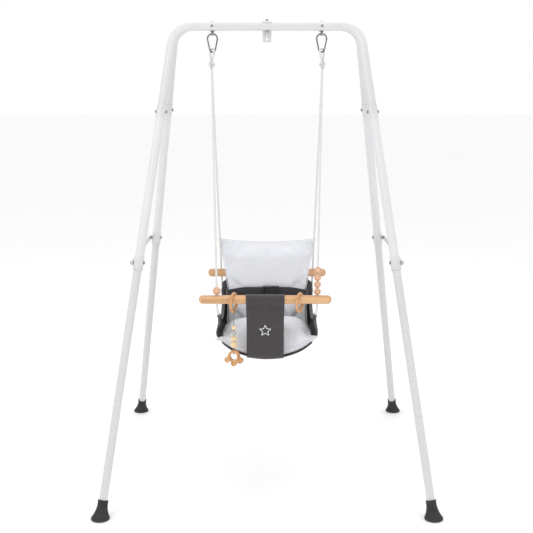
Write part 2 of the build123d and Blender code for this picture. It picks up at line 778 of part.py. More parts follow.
def belt_half(side, inner_end):
    """Webbing from beside the back panel, round the cushion's corner to the buckle."""
    with BuildPart() as strap:
        with BuildSketch(Plane.XY.offset(belt_z - belt_width / 2)):
            with BuildLine():
                line = FilletPolyline((inner_end, belt_y), (side * belt_x, belt_y),
                                      (side * belt_x, belt_end_y), radius=15)
            trace(line_width=belt_thickness)
        extrude(amount=belt_width)
    return strap.part


save(belt_half(-1, 1.0), "belt_left")
save(belt_half(1, socket_right - 1), "belt_right")

with BuildPart() as buckle_socket:
    with BuildSketch(Plane.XZ.offset(-(buckle_y + buckle_depth / 2))):
        with Locations(((socket_left + socket_right) / 2, belt_z)):
            RectangleRounded(socket_right - socket_left, buckle_height, 4)
    extrude(amount=buckle_depth)
    fillet(buckle_socket.edges().group_by(Axis.Y)[0], 2)
    with Locations((socket_left + 12, buckle_y - 0.5, belt_z)):
        Box(24.2, 6.2, 24.4, mode=Mode.SUBTRACT)
    with Locations((socket_left + 16, buckle_y - 0.5, belt_z)):
        Box(9, 6.2, buckle_height + 2, mode=Mode.SUBTRACT)
    with Locations((socket_right - 2, belt_y, belt_z)):
        Box(10, 2 * strap_channel, belt_width + 0.8, mode=Mode.SUBTRACT)
save(buckle_socket.part, "buckle_socket")

with BuildPart() as buckle_plug:
    with BuildSketch(Plane.XZ.offset(-(buckle_y + buckle_depth / 2))):
        with Locations(((plug_left + 2.5) / 2, belt_z)):
            RectangleRounded(2.5 - plug_left, buckle_height, 3)
    extrude(amount=buckle_depth)
    fillet(buckle_plug.edges().group_by(Axis.Y)[0], 2)
    with Locations(((plug_left + 2.5) / 2, belt_y, belt_z)):
        Box(40, 2 * strap_channel, belt_width + 0.8, mode=Mode.SUBTRACT)
    with Locations(((plug_left + 2.5) / 2, buckle_y - 5, belt_z)):
        Box(3, 6, 22, mode=Mode.SUBTRACT)
    with Locations((12, prong_y, belt_z)):
        Box(22, prong_depth, 5)
    for up in (-1, 1):
        with Locations((10, prong_y, belt_z + up * 9.0)):
            Box(18, prong_depth, 3)
        with Locations((19.5, prong_y, belt_z + up * 10)):
            Box(6.5, prong_depth, 4)
save(buckle_plug.part, "buckle_plug")


# ---------------------------------------------------------------- beads on the ropes
front_strand = (strand_top(front_bar_y) - below(front_bar_y, front_bar_z, 0)).normalized()


def faceted(radius):
    """Wooden bead cut to eighteen flat facets, about the origin with its hole along Z."""
    steps = (-1, 0, 1)
    every = [Vector(x, y, z) for x in steps for y in steps for z in steps]
    facings = [facing for facing in every if 0.9 < facing.length < 1.5]
    with BuildPart() as bead:
        Sphere(radius)
        for facing in facings:
            normal = facing.normalized()
            split(bisect_by=Plane(origin=normal * 0.92 * radius, z_dir=normal), keep=Keep.BOTTOM)
    return bead.part


def strung(side, reach, body, hole):
    """A bead drilled and put on a front strand, its centre at this reach from the bar's centre."""
    up = Vector(side * front_strand.X, front_strand.Y, front_strand.Z)
    centre = Vector(side * hole_x, front_bar_y, front_bar_z) + up * reach
    drilled = body - Cylinder(hole, 60)
    return Plane(origin=centre, z_dir=up) * drilled


rope_beads = []
for index in range(4):
    reach = bar_radius + bead_radius + 0.4 + index * (2 * bead_radius + 0.1)
    rope_beads.append(strung(1, reach, Sphere(bead_radius), bead_hole))
save(Compound(children=rope_beads), "rope_beads_right")
single_reach = bar_radius + single_bead_radius + 0.4
save(strung(-1, single_reach, faceted(single_bead_radius), bead_hole), "rope_bead_left")


# ---------------------------------------------------------------- rings and the hanging toy
def bar_ring(centre_x, yaw):
    """Wooden ring hanging on the front bar, its plane turned a little from the bar's cross-section."""
    normal = Vector(cos(radians(yaw)), -sin(radians(yaw)), 0)
    along = Vector(sin(radians(yaw)), cos(radians(yaw)), 0)
    centre = (centre_x, front_bar_y, front_bar_z - (ring_radius - ring_hang))
    with BuildPart() as ring:
        with BuildSketch(Plane(origin=centre, x_dir=(0, 0, 1), z_dir=along)):
            with Locations((ring_radius, 0)):
                Circle(ring_section)
        revolve(axis=Axis(centre, normal))
    return ring.part


save(bar_ring(left_ring_x, left_ring_yaw), "ring_left")
save(bar_ring(right_ring_x, right_ring_yaw), "ring_right")

toy_pivot_z = front_bar_z - (ring_radius - ring_hang) - ring_radius
loop_radius = ring_section + string_radius + 0.5
toy_across = Vector(cos(radians(left_ring_yaw)), -sin(radians(left_ring_yaw)), 0)
toy_facing = Vector(-sin(radians(left_ring_yaw)), -cos(radians(left_ring_yaw)), 0)
toy_pivot = Vector(left_ring_x, front_bar_y, toy_pivot_z)
teether_z = 364.5
teether_hole = 10.0
knot_z = teether_z + teether_hole - 2.6
with BuildPart() as toy_string:
    with BuildSketch(Plane(origin=toy_pivot + Vector(0, 0, loop_radius), z_dir=toy_across)):
        Circle(string_radius + 0.15)
    revolve(axis=Axis(toy_pivot, -toy_facing))
    with BuildSketch(Plane(origin=(left_ring_x, front_bar_y, knot_z))):
        Circle(string_radius)
    extrude(amount=toy_pivot_z - loop_radius - knot_z)
    with Locations((left_ring_x, front_bar_y, knot_z)):
        Sphere(2.3)

TOY_BEADS = ((446.5, 6.5, 6.5), (431.0, 7.5, 7.5), (415.0, 9.5, 7.0), (398.0, 9.8, 9.8))
toy_beads = []
for bead_z, radius, half_height in TOY_BEADS[:3]:
    with BuildPart() as bead:
        with BuildSketch(Plane.XZ):
            Ellipse(radius, half_height)
            with Locations((-2 * radius, 0)):
                Rectangle(4 * radius, 4 * radius, mode=Mode.SUBTRACT)
        revolve(axis=Axis.Z)
        Cylinder(string_radius + 0.1, 60, mode=Mode.SUBTRACT)
    toy_beads.append(Pos(left_ring_x, front_bar_y, bead_z) * bead.part)
bead_z, radius, half_height = TOY_BEADS[3]
drilled = faceted(radius) - Cylinder(string_radius + 0.1, 60)
toy_beads.append(Pos(left_ring_x, front_bar_y, bead_z) * drilled)
save(Compound(children=toy_beads), "toy_beads")

with BuildPart() as teether:
    teether_centre = (left_ring_x, front_bar_y, teether_z)
    with BuildSketch(Plane(origin=teether_centre, x_dir=toy_across, z_dir=toy_facing)):
        Circle(17)
        with Locations((-18.5, -11), (0, -20), (18.5, -11)):
            Circle(8)
        with Locations((0, -9)):
            Rectangle(36, 10)
        Circle(teether_hole, mode=Mode.SUBTRACT)
    extrude(amount=5, both=True)
    with Locations((left_ring_x, front_bar_y, teether_z + 15)):
        Cylinder(string_radius + 0.1, 14, mode=Mode.SUBTRACT)
    fillet(teether.edges().filter_by(GeomType.LINE, reverse=True).group_by(SortBy.LENGTH)[-1], 2)
save(teether.part, "teether")
save(toy_string.part, "toy_string")
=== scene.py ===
"""Looks of a folding stand with a hanging toddler seat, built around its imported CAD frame.

Metres. +Z is up and the front of the seat faces -Y. "left" is -X and "right" is +X, from in front.
"""

import json
from math import cos, pi, radians, sin, sqrt

import bpy
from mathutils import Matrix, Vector, noise


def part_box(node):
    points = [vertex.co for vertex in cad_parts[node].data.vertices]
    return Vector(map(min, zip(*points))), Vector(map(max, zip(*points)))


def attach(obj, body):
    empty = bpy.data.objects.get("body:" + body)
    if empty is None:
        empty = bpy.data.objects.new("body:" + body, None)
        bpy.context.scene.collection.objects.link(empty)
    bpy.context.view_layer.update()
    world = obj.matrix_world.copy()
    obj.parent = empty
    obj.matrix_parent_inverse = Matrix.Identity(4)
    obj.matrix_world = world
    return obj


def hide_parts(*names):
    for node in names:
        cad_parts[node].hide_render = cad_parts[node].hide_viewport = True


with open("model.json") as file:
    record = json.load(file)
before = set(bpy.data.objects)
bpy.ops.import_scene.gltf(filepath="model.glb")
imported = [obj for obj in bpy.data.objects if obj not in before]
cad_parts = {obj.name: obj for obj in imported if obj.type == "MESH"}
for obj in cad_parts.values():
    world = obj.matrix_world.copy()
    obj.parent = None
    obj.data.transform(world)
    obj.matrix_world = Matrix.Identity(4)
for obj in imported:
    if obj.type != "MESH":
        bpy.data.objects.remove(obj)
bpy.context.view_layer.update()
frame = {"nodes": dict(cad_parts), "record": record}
SIDES = (("left", -1), ("right", 1))


# ---------------- places, read from the frame
def middle(node):
    """Middle of a CAD node's box."""
    low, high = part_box(node)
    return (low + high) / 2


front_bar = middle("front_bar")
back_bar = middle("back_bar")
seat_y = (front_bar.y + back_bar.y) / 2
bar_radius = (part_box("front_bar")[1].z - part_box("front_bar")[0].z) / 2
sling_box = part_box("canvas_seat")
canvas = 0.0025
sling_half = sling_box[1].x
sling_low = sling_box[0].z + canvas
sling_rise = 0.042
lean_degrees = 14
back_lean = radians(lean_degrees)
back_up = Vector((0, sin(back_lean), cos(back_lean)))
back_normal = Vector((0, -cos(back_lean), sin(back_lean)))
sleeve_radius = bar_radius + 0.0003 + canvas / 2
back_top = back_bar + back_normal * sleeve_radius
belt = middle("belt_right")
belt_front_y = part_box("belt_right")[0].y

rope_radius = 0.003
knot_x = 0.155
knot_top = 1.173
knot_bottom = 1.148
hole_x = 0.138
wing_x = 0.129
wing_bulge = 0.013
hook_x = 0.1525
hook_bottom_z = 1.197

rope_step = 0.0014
shown_canvas = 0.0026
stitch_lift = 0.0012


def sling_height(x):
    """Top face of the sling across the seat: an arc that rises to its two edges."""
    ball = (sling_half**2 + sling_rise**2) / (2 * sling_rise)
    return sling_low + ball - sqrt(ball**2 - min(abs(x), sling_half) ** 2)


def mix(a, b, share):
    """Value between a and b."""
    return a + (b - a) * share


def smooth(low, high, value):
    """Smooth step from 0 at low to 1 at high."""
    share = max(0.0, min(1.0, (value - low) / (high - low)))
    return share * share * (3 - 2 * share)


# ---------------- camera, floor and lights
def camera():
    """The photograph's viewpoint: level with the top of the stand, looking a little down."""
    data = bpy.data.cameras.new("view")
    data.sensor_width = 36
    data.lens = 67.54
    data.shift_x = -0.001
    made = bpy.data.objects.new("view", data)
    made.location = (0, -2.862, 1.121)
    made.rotation_euler = (radians(79.42), 0, 0)
    bpy.context.scene.collection.objects.link(made)
    bpy.context.scene.camera = made


def area_light(name, place, target, size, power):
    """Square soft light aimed at a point."""
    data = bpy.data.lights.new(name, "AREA")
    data.size = size
    data.energy = power
    made = bpy.data.objects.new(name, data)
    made.location = place
    made.rotation_euler = (Vector(target) - Vector(place)).to_track_quat("-Z", "Y").to_euler()
    bpy.context.scene.collection.objects.link(made)


def studio():
    """Pale floor, white surroundings and three soft lights."""
    world = bpy.data.worlds.new("surroundings")
    world.use_nodes = True
    background = world.node_tree.nodes["Background"]
    background.inputs["Color"].default_value = (1.0, 1.0, 1.0, 1)
    background.inputs["Strength"].default_value = 1.0
    bpy.context.scene.world = world
    bpy.context.scene.view_settings.view_transform = "Standard"
    chest = (0, 0, 0.6)
    area_light("key", (-1.9, -2.4, 2.9), chest, 1.1, 20)
    area_light("fill", (2.4, -1.8, 1.7), chest, 2.2, 5)
    area_light("top", (0.2, 0.9, 3.0), chest, 2.0, 13)
    half = 30
    mesh = bpy.data.meshes.new("floor")
    corners = [(-half, -half, 0), (half, -half, 0), (half, half, 0), (-half, half, 0)]
    mesh.from_pydata(corners, [], [(0, 1, 2, 3)])
    floor = bpy.data.objects.new("floor", mesh)
    floor.data.materials.append(floor_look())
    bpy.context.scene.collection.objects.link(floor)


# ---------------- materials
class Look:
    """A procedural material under construction: its shader and the nodes that feed it."""

    def __init__(self, name, **sockets):
        self.material = bpy.data.materials.new(name)
        self.material.use_nodes = True
        self.tree = self.material.node_tree
        self.shader = self.tree.nodes["Principled BSDF"]
        self.height = None
        for socket, value in sockets.items():
            self.shader.inputs[socket.replace("_", " ")].default_value = value

    def node(self, kind, settings=None, **inputs):
        """Add a node; each input is a number, a colour or another node's output."""
        made = self.tree.nodes.new("ShaderNode" + kind)
        for key, value in (settings or {}).items():
            setattr(made, key, value)
        for name, value in inputs.items():
            socket = made.inputs[int(name[1:])] if name[1:].isdigit() else made.inputs[name.replace("_", " ")]
            if isinstance(value, bpy.types.NodeSocket):
                self.tree.links.new(value, socket)
            else:
                socket.default_value = value
        return made

    def place(self, kind="Object"):
        """Coordinates: Object for solids, UV in metres for cloth and rope."""
        return self.node("TexCoord").outputs[kind]

    def stretched(self, vector, scale):
        """The coordinates, scaled by a different amount on each axis."""
        return self.node("Mapping", Vector=vector, Scale=scale).outputs["Vector"]

    def noise(self, vector, scale, detail=3.0):
        """Cloudy noise between 0 and 1."""
        made = self.node("TexNoise", Vector=vector, Scale=scale, Detail=detail, Roughness=0.55)
        return made.outputs["Fac"]

    def waves(self, vector, direction, spacing, distortion=0.0, detail=0.0):
        """Sine bands across one axis, this far apart."""
        cycles = 2 * pi / 20
        settings = {"wave_type": "BANDS", "bands_direction": direction, "wave_profile": "SIN"}
        made = self.node("TexWave", settings, Vector=vector, Scale=cycles / spacing,
                         Distortion=distortion, Detail=detail)
        return made.outputs["Fac"]

    def maths(self, operation, first, second=0.5):
        """One arithmetic node."""
        return self.node("Math", {"operation": operation}, _0=first, _1=second).outputs[0]

    def total(self, *shares):
        """Sum of (output, weight) pairs."""
        terms = [self.maths("MULTIPLY", output, weight) for output, weight in shares]
        result = terms[0]
        for term in terms[1:]:
            result = self.maths("ADD", result, term)
        return result

    def ramp(self, factor, stops):
        """Colour from a 0 to 1 factor, by (position, colour) stops."""
        made = self.node("ValToRGB", Fac=factor)
        elements = made.color_ramp.elements
        while len(elements) < len(stops):
            elements.new(0.5)
        for element, (position, colour) in zip(elements, stops):
            element.position = position
            element.color = (*colour, 1)
        return made.outputs["Color"]

    def blend(self, factor, first, second):
        """Mix two colours."""
        return self.node("Mix", {"data_type": "RGBA"}, _0=factor, _6=first, _7=second).outputs[2]

    def spread(self, factor, low=0.0, high=1.0, start=0.0, end=1.0):
        """A factor from start to end, mapped to the range from low to high and held inside it."""
        made = self.node("MapRange", Value=factor, From_Min=start, From_Max=end, To_Min=low, To_Max=high)
        return made.outputs["Result"]

    def feed(self, socket, output):
        """Drive one of the shader's sockets."""
        self.tree.links.new(output, self.shader.inputs[socket])

    def bump(self, height, distance, strength=1.0):
        """Add relief of this depth; several calls add up."""
        inputs = {"Height": height, "Distance": distance, "Strength": strength}
        if self.height:
            inputs["Normal"] = self.height
        self.height = self.node("Bump", **inputs).outputs["Normal"]
        self.feed("Normal", self.height)


def worn(look, base, worn_colour, low=0.53, high=0.6):
    """Lighter or darker colour where the mesh's edges stand out."""
    edge = look.node("NewGeometry").outputs["Pointiness"]
    sharp = look.spread(edge, start=low, end=high)
    patchy = look.maths("MULTIPLY", sharp, look.noise(look.place(), 140, 2))
    return look.blend(patchy, base, (*worn_colour, 1))


def floor_look():
    look = Look("pale_floor", Roughness=0.65)
    place = look.place()
    white = look.ramp(look.noise(place, 1.2), [(0.3, (0.945, 0.945, 0.95)), (0.7, (0.965, 0.965, 0.965))])
    look.feed("Base Color", white)
    look.bump(look.noise(place, 220), 0.0002, 0.3)
    return look.material


def powder_coat():
    """White powder coat: faint orange peel, soft gloss, a little grey where edges rub."""
    look = Look("white_powder_coat", Coat_Weight=0.25, Coat_Roughness=0.25)
    place = look.place()
    cloud = look.noise(place, 7, 4)
    white = look.ramp(cloud, [(0.3, (0.685, 0.685, 0.70)), (0.7, (0.715, 0.715, 0.725))])
    look.feed("Base Color", worn(look, white, (0.55, 0.55, 0.56)))
    look.feed("Roughness", look.spread(look.noise(place, 90, 3), 0.3, 0.44))
    look.bump(look.noise(place, 620, 2), 0.00007, 0.4)
    return look.material


def rubber():
    """Moulded black rubber with a dusty foot and a fine matt grain."""
    look = Look("black_rubber", Specular_IOR_Level=0.35)
    place = look.place()
    dark = look.ramp(look.noise(place, 55, 5), [(0.25, (0.018, 0.018, 0.019)), (0.8, (0.038, 0.037, 0.036))])
    height = look.node("SeparateXYZ", Vector=place).outputs["Z"]
    dust = look.spread(height, high=0.5, start=0.006, end=0.0)
    look.feed("Base Color", look.blend(dust, dark, (0.11, 0.105, 0.1, 1)))
    look.feed("Roughness", look.spread(look.noise(place, 160), 0.58, 0.8))
    look.bump(look.noise(place, 900, 2), 0.00015, 0.6)
    return look.material


def steel(name, low, high, roughness, grain):
    """Plated or blackened steel: clouded colour, fine scratches, brighter rubbed edges."""
    look = Look(name, Metallic=1.0)
    place = look.place()
    cloud = look.noise(place, 120, 4)
    tone = look.ramp(cloud, [(0.3, low), (0.72, high)])
    rubbed = tuple(min(1.0, value * 1.7) for value in high)
    look.feed("Base Color", worn(look, tone, rubbed, 0.51, 0.57))
    scratches = look.noise(look.stretched(place, (1, 1, 14)), grain, 2)
    look.feed("Roughness", look.spread(scratches, roughness - 0.08, roughness + 0.12))
    look.bump(scratches, 0.00004, 0.5)
    return look.material


def wood(name, dark, light, along, ring=0.011, grain=1.0, painted=None):
    """Beech or maple: long growth bands, short flecks and fine pores along one axis.

    painted is the height and reach of a zone with grey paint over the grain.
    """
    look = Look(name, Coat_Weight=0.12, Coat_Roughness=0.35)
    place = look.place()
    stretch = [1.0, 1.0, 1.0]
    stretch["XYZ".index(along)] = 0.07
    fibres = look.stretched(place, stretch)
    wander = look.noise(fibres, 26 * grain, 3)
    across = "Y" if along != "Y" else "Z"
    bands = look.waves(fibres, across, ring, 5.0, 3.0)
    tone = look.total((bands, 0.4), (wander, 0.6))
    fleck = look.noise(look.stretched(place, [6 * value for value in stretch]), 420 * grain, 2)
    mid = tuple(mix(a, b, 0.55) for a, b in zip(dark, light))
    grainy = look.ramp(tone, [(0.22, dark), (0.5, mid), (0.78, light)])
    flecked = look.spread(fleck, high=0.5, start=0.60, end=0.74)
    colour = look.blend(flecked, grainy, (*[value * 0.72 for value in dark], 1))
    if painted:
        height = look.node("SeparateXYZ", Vector=place).outputs["Z"]
        zone = look.node("Math", {"operation": "COMPARE"}, _0=height, _1=painted[0], _2=painted[1]).outputs[0]
        colour = look.blend(look.maths("MULTIPLY", zone, 0.9), colour, (0.42, 0.43, 0.40, 1))
    look.feed("Base Color", colour)
    look.feed("Roughness", look.spread(tone, 0.5, 0.38))
    look.bump(fleck, 0.00012, 0.35)
    look.bump(tone, 0.0002, 0.3)
    return look.material


def woven(name, shade, light, thread, relief, sheen, roughness=0.88):
    """Plain weave in UV metres: warp and weft bands, slubs and slow colour drift."""
    look = Look(name, Sheen_Weight=sheen, Sheen_Roughness=0.5, Specular_IOR_Level=0.25)
    place = look.place("UV")
    slub = look.noise(look.stretched(place, (1, 0.12, 1)), 0.5 / thread, 2)
    warp = look.waves(place, "X", thread, 0.35, 1.0)
    weft = look.waves(place, "Y", thread, 0.35, 1.0)
    cross = look.maths("ABSOLUTE", look.maths("SUBTRACT", warp, weft))
    drift = look.noise(look.place(), 16, 4)
    tone = look.total((cross, 0.35), (slub, 0.35), (drift, 0.3))
    look.feed("Base Color", look.ramp(tone, [(0.2, shade), (0.75, light)]))
    look.feed("Roughness", look.spread(slub, roughness - 0.08, roughness + 0.06))
    look.bump(cross, relief, 0.7)
    look.bump(slub, relief * 0.8, 0.5)
    look.bump(drift, relief * 5, 0.25)
    return look.material


def webbing_look():
    """Black polypropylene webbing: ribs along the strap crossed by a fine herringbone."""
    look = Look("black_webbing", Sheen_Weight=0.2, Sheen_Roughness=0.4, Specular_IOR_Level=0.4)
    place = look.place("UV")
    ribs = look.waves(place, "Y", 0.0021, 0.1)
    picks = look.waves(place, "DIAGONAL", 0.0012, 0.3, 1.0)
    tone = look.maths("MULTIPLY", ribs, picks)
    look.feed("Base Color", look.ramp(tone, [(0.1, (0.020, 0.019, 0.021)), (0.8, (0.052, 0.049, 0.053))]))
    look.feed("Roughness", look.spread(look.noise(place, 300), 0.55, 0.75))
    look.bump(ribs, 0.00022, 0.8)
    look.bump(picks, 0.00010, 0.6)
    return look.material


def rope_look():
    """White braided cord: the plaits are in the mesh, and this adds yarns and fluff."""
    look = Look("white_rope", Sheen_Weight=0.35, Sheen_Roughness=0.5, Specular_IOR_Level=0.3)
    place = look.place("UV")
    yarns = look.waves(look.stretched(place, (1, 0.6, 1)), "DIAGONAL", 0.0007, 0.4, 1.0)
    soil = look.noise(look.place(), 30, 3)
    tone = look.total((yarns, 0.45), (soil, 0.55))
    look.feed("Base Color", look.ramp(tone, [(0.2, (0.62, 0.62, 0.625)), (0.75, (0.76, 0.76, 0.765))]))
    look.feed("Roughness", look.spread(yarns, 0.7, 0.86))
    look.bump(yarns, 0.00012, 0.6)
    return look.material


def string_look():
    """Grey twisted cotton string."""
    look = Look("grey_string", Sheen_Weight=0.3, Roughness=0.85)
    place = look.place()
    twist = look.waves(look.stretched(place, (1, 1, 0.7)), "DIAGONAL", 0.0011, 0.3, 1.0)
    look.feed("Base Color", look.ramp(twist, [(0.1, (0.13, 0.13, 0.145)), (0.9, (0.26, 0.26, 0.285))]))
    look.bump(twist, 0.0002, 0.8)
    return look.material


def plastic():
    """Black acetal with a spark-eroded grain that shines where it is handled."""
    look = Look("black_plastic", Specular_IOR_Level=0.45)
    place = look.place()
    cloud = look.noise(place, 70, 3)
    dark = look.ramp(cloud, [(0.3, (0.010, 0.010, 0.011)), (0.7, (0.022, 0.022, 0.023))])
    look.feed("Base Color", worn(look, dark, (0.07, 0.07, 0.07), 0.52, 0.6))
    look.feed("Roughness", look.spread(cloud, 0.3, 0.46))
    look.bump(look.noise(place, 1500, 1), 0.00005, 0.6)
    return look.material


def thread_look(name, low, high):
    """Sewing thread: two plies that show as fine slanted bands."""
    look = Look(name, Sheen_Weight=0.3, Roughness=0.6)
    twist = look.waves(look.place(), "DIAGONAL", 0.0006, 0.2)
    look.feed("Base Color", look.ramp(twist, [(0.2, low), (0.8, high)]))
    look.bump(twist, 0.00006, 0.6)
    return look.material


BEECH_DARK = (0.52, 0.275, 0.125)
BEECH_LIGHT = (0.74, 0.45, 0.235)
MATERIALS = {
    "white_powder_coat": powder_coat(),
    "black_rubber": rubber(),
    "bolt_steel": steel("bolt_steel", (0.17, 0.175, 0.185), (0.29, 0.295, 0.305), 0.4, 260),
    "dark_steel": steel("dark_steel", (0.15, 0.15, 0.147), (0.28, 0.28, 0.272), 0.36, 320),
    "white_rope": rope_look(),
    "bar_wood": wood("bar_wood", BEECH_DARK, BEECH_LIGHT, "X"),
    "ring_wood": wood("ring_wood", (0.50, 0.235, 0.085), (0.70, 0.38, 0.165), "Z", 0.007, 1.6),
    "bead_wood": wood("bead_wood", (0.56, 0.30, 0.17), (0.78, 0.49, 0.32), "Z", 0.006, 2.0),
    "toy_bead_wood": wood("toy_bead_wood", (0.74, 0.52, 0.28), (0.90, 0.73, 0.46), "Z", 0.005, 2.4,
                          painted=(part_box("toy_beads")[1].z - 0.022, 0.0078)),
    "teether_wood": wood("teether_wood", (0.48, 0.23, 0.085), (0.69, 0.38, 0.165), "X", 0.007, 1.6),
    "grey_string": string_look(),
    "grey_canvas": woven("grey_canvas", (0.038, 0.034, 0.037), (0.080, 0.072, 0.077), 0.0011, 0.00022, 0.25),
    "pale_cushion": woven("pale_cushion", (0.66, 0.67, 0.705), (0.80, 0.81, 0.85), 0.0009, 0.00014, 0.2),
    "black_webbing": webbing_look(),
    "black_plastic": plastic(),
    "dark_thread": thread_look("dark_thread", (0.085, 0.078, 0.085), (0.15, 0.14, 0.15)),
    "white_thread": thread_look("white_thread", (0.74, 0.74, 0.75), (0.86, 0.86, 0.87)),
}


def paint_cad_nodes():
    """Every CAD node that stays in view gets its slot's procedural material."""
    for part in frame["record"]["subparts"]:
        node = frame["nodes"][part["node"]]
        for slot in node.material_slots:
            slot.material = MATERIALS[part["material_slot"]]


# ---------------- mesh helpers
def grid_faces(rows, columns, closed=False):
    """Quads of a rows by columns grid; a closed one joins its last column to its first."""
    faces = []
    for row in range(rows - 1):
        for column in range(columns if closed else columns - 1):
            after = (column + 1) % columns
            faces.append((row * columns + column, row * columns + after,
                          (row + 1) * columns + after, (row + 1) * columns + column))
    return faces


def outline(rows, columns):
    """(row, column) pairs round a grid's edge."""
    pairs = [(0, column) for column in range(columns)]
    pairs += [(row, columns - 1) for row in range(1, rows)]
    pairs += [(rows - 1, column) for column in range(columns - 2, -1, -1)]
    return pairs + [(row, 0) for row in range(rows - 2, 0, -1)]


def tube_faces(rings, sides, closed=False):
    """Quads of a tube, with a cap at each end, or with its last ring joined to its first."""
    faces = grid_faces(rings, sides, closed=True)
    last = (rings - 1) * sides
    if closed:
        faces += [(last + side, last + (side + 1) % sides, (side + 1) % sides, side) for side in range(sides)]
    else:
        faces.append(tuple(reversed(range(sides))))
        faces.append(tuple(range(last, last + sides)))
    return faces


def piece(name, points, faces, material, slot=None, uvs=None):
    """A smooth mesh object that rides on the seat."""
    mesh = bpy.data.meshes.new(name)
    mesh.from_pydata(points, [], faces)
    mesh.update()
    mesh.shade_smooth()
    if uvs:
        layer = mesh.uv_layers.new(name="cloth")
        for loop in mesh.loops:
            layer.data[loop.index].uv = uvs[loop.vertex_index]
    made = bpy.data.objects.new(name, mesh)
    made.data.materials.append(MATERIALS[material])
    bpy.context.scene.collection.objects.link(made)
    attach(made, "seat")
    return made


def smooth_line(points, closed=False):
    """Points along the quadratic NURBS spline that has these control points."""
    curve = bpy.data.curves.new("route", "CURVE")
    curve.dimensions = "3D"
    spline = curve.splines.new("NURBS")
    spline.points.add(len(points) - 1)
    for control, point in zip(spline.points, points):
        control.co = (*point, 1)
    spline.order_u = 3
    spline.use_cyclic_u = closed
    spline.use_endpoint_u = not closed
    spline.resolution_u = 24
    carrier = bpy.data.objects.new("route", curve)
    bpy.context.scene.collection.objects.link(carrier)
    bpy.context.view_layer.update()
    mesh = bpy.data.meshes.new_from_object(carrier)
    line = [vertex.co.copy() for vertex in mesh.vertices]
    bpy.data.objects.remove(carrier)
    bpy.data.meshes.remove(mesh)
    return line


def run_lengths(line):
    """Distance along the line to each of its points."""
    run = [0.0]
    for before, here in zip(line, line[1:]):
        run.append(run[-1] + (here - before).length)
    return run


def place_at(run, reach):
    """Where on a line a distance along it falls: the point before it and the share of the next step."""
    index = 0
    while index < len(run) - 2 and run[index + 1] < reach:
        index += 1
    return index, (reach - run[index]) / max(run[index + 1] - run[index], 1e-9)


def even(line, step):
    """The same line with its points an equal distance apart, near this step."""
    run = run_lengths(line)
    count = max(2, round(run[-1] / step))
    points = []
    for number in range(count + 1):
        index, share = place_at(run, run[-1] * number / count)
        points.append(line[index].lerp(line[index + 1], min(1.0, share)))
    return points


def heading_at(line, index):
    """Unit direction of an open line at one of its points."""
    return (line[min(index + 1, len(line) - 1)] - line[max(index - 1, 0)]).normalized()


def frames_along(points, closed=False):
    """Two unit vectors across the line at each point, which turn with it and never twist."""
    count = len(points)
    found = []
    aside = None
    for index, here in enumerate(points):
        if closed:
            heading = (points[(index + 1) % count] - points[index - 1]).normalized()
        else:
            heading = heading_at(points, index)
        if aside is None:
            aside = heading.orthogonal().normalized()
        aside = (aside - heading * aside.dot(heading)).normalized()
        found.append((aside.copy(), heading.cross(aside)))
    return found


def braid(points, radius, closed=False, sides=20, plaits=5, pitch=0.0085, relief=0.00028):
    """Vertices, faces and UVs of a braided cord: a tube with crossed plaits raised on it."""
    vertices, uvs = [], []
    for here, reach, (aside, other) in zip(points, run_lengths(points), frames_along(points, closed)):
        for side in range(sides):
            angle = 2 * pi * side / sides
            lift = cos(plaits * angle) * cos(2 * pi * reach / pitch)
            spoke = aside * cos(angle) + other * sin(angle)
            vertices.append(here + spoke * (radius - relief + relief * lift))
            uvs.append((angle * radius, reach))
    return vertices, tube_faces(len(points), sides, closed), uvs


def ring(centre, aside, other, radius, sides):
    """Points evenly round a centre, in the plane of two unit vectors."""
    angles = [2 * pi * side / sides for side in range(sides)]
    return [centre + (aside * cos(angle) + other * sin(angle)) * radius for angle in angles]


def gathered(parts):
    """Several (vertices, faces, uvs) as one."""
    vertices, faces, uvs = [], [], []
    for part_vertices, part_faces, part_uvs in parts:
        start = len(vertices)
        vertices += part_vertices
        faces += [tuple(start + index for index in face) for face in part_faces]
        uvs += part_uvs
    return vertices, faces, uvs


def stitches(name, line, normals, length=0.0034, gap=0.0013, radius=0.00042):
    """A row of sewn stitches along a line: short bowed threads that dip into the cloth at their ends."""
    run = run_lengths(line)
    glance = 0.0003

    def at(reach):
        index, share = place_at(run, reach)
        normal = normals[index].lerp(normals[index + 1], share)
        return line[index].lerp(line[index + 1], share), normal.normalized()

    sides, rings = 6, 5
    parts = []
    start = gap / 2
    while start + length < run[-1]:
        vertices = []
        for number in range(rings):
            share = number / (rings - 1)
            reach = start + share * length
            centre, normal = at(reach)
            heading = (at(min(reach + glance, run[-1]))[0] - at(reach - glance)[0]).normalized()
            across = heading.cross(normal).normalized()
            bow = sin(pi * share)
            thick = radius * (0.45 + 0.55 * bow)
            centre = centre + normal * (radius * (bow - 0.35))
            vertices += ring(centre, across, normal, thick, sides)
        parts.append((vertices, tube_faces(rings, sides), [(0, 0)] * len(vertices)))
        start += length + gap
    vertices, faces, _ = gathered(parts)
    return piece(name, vertices, faces, "dark_thread")


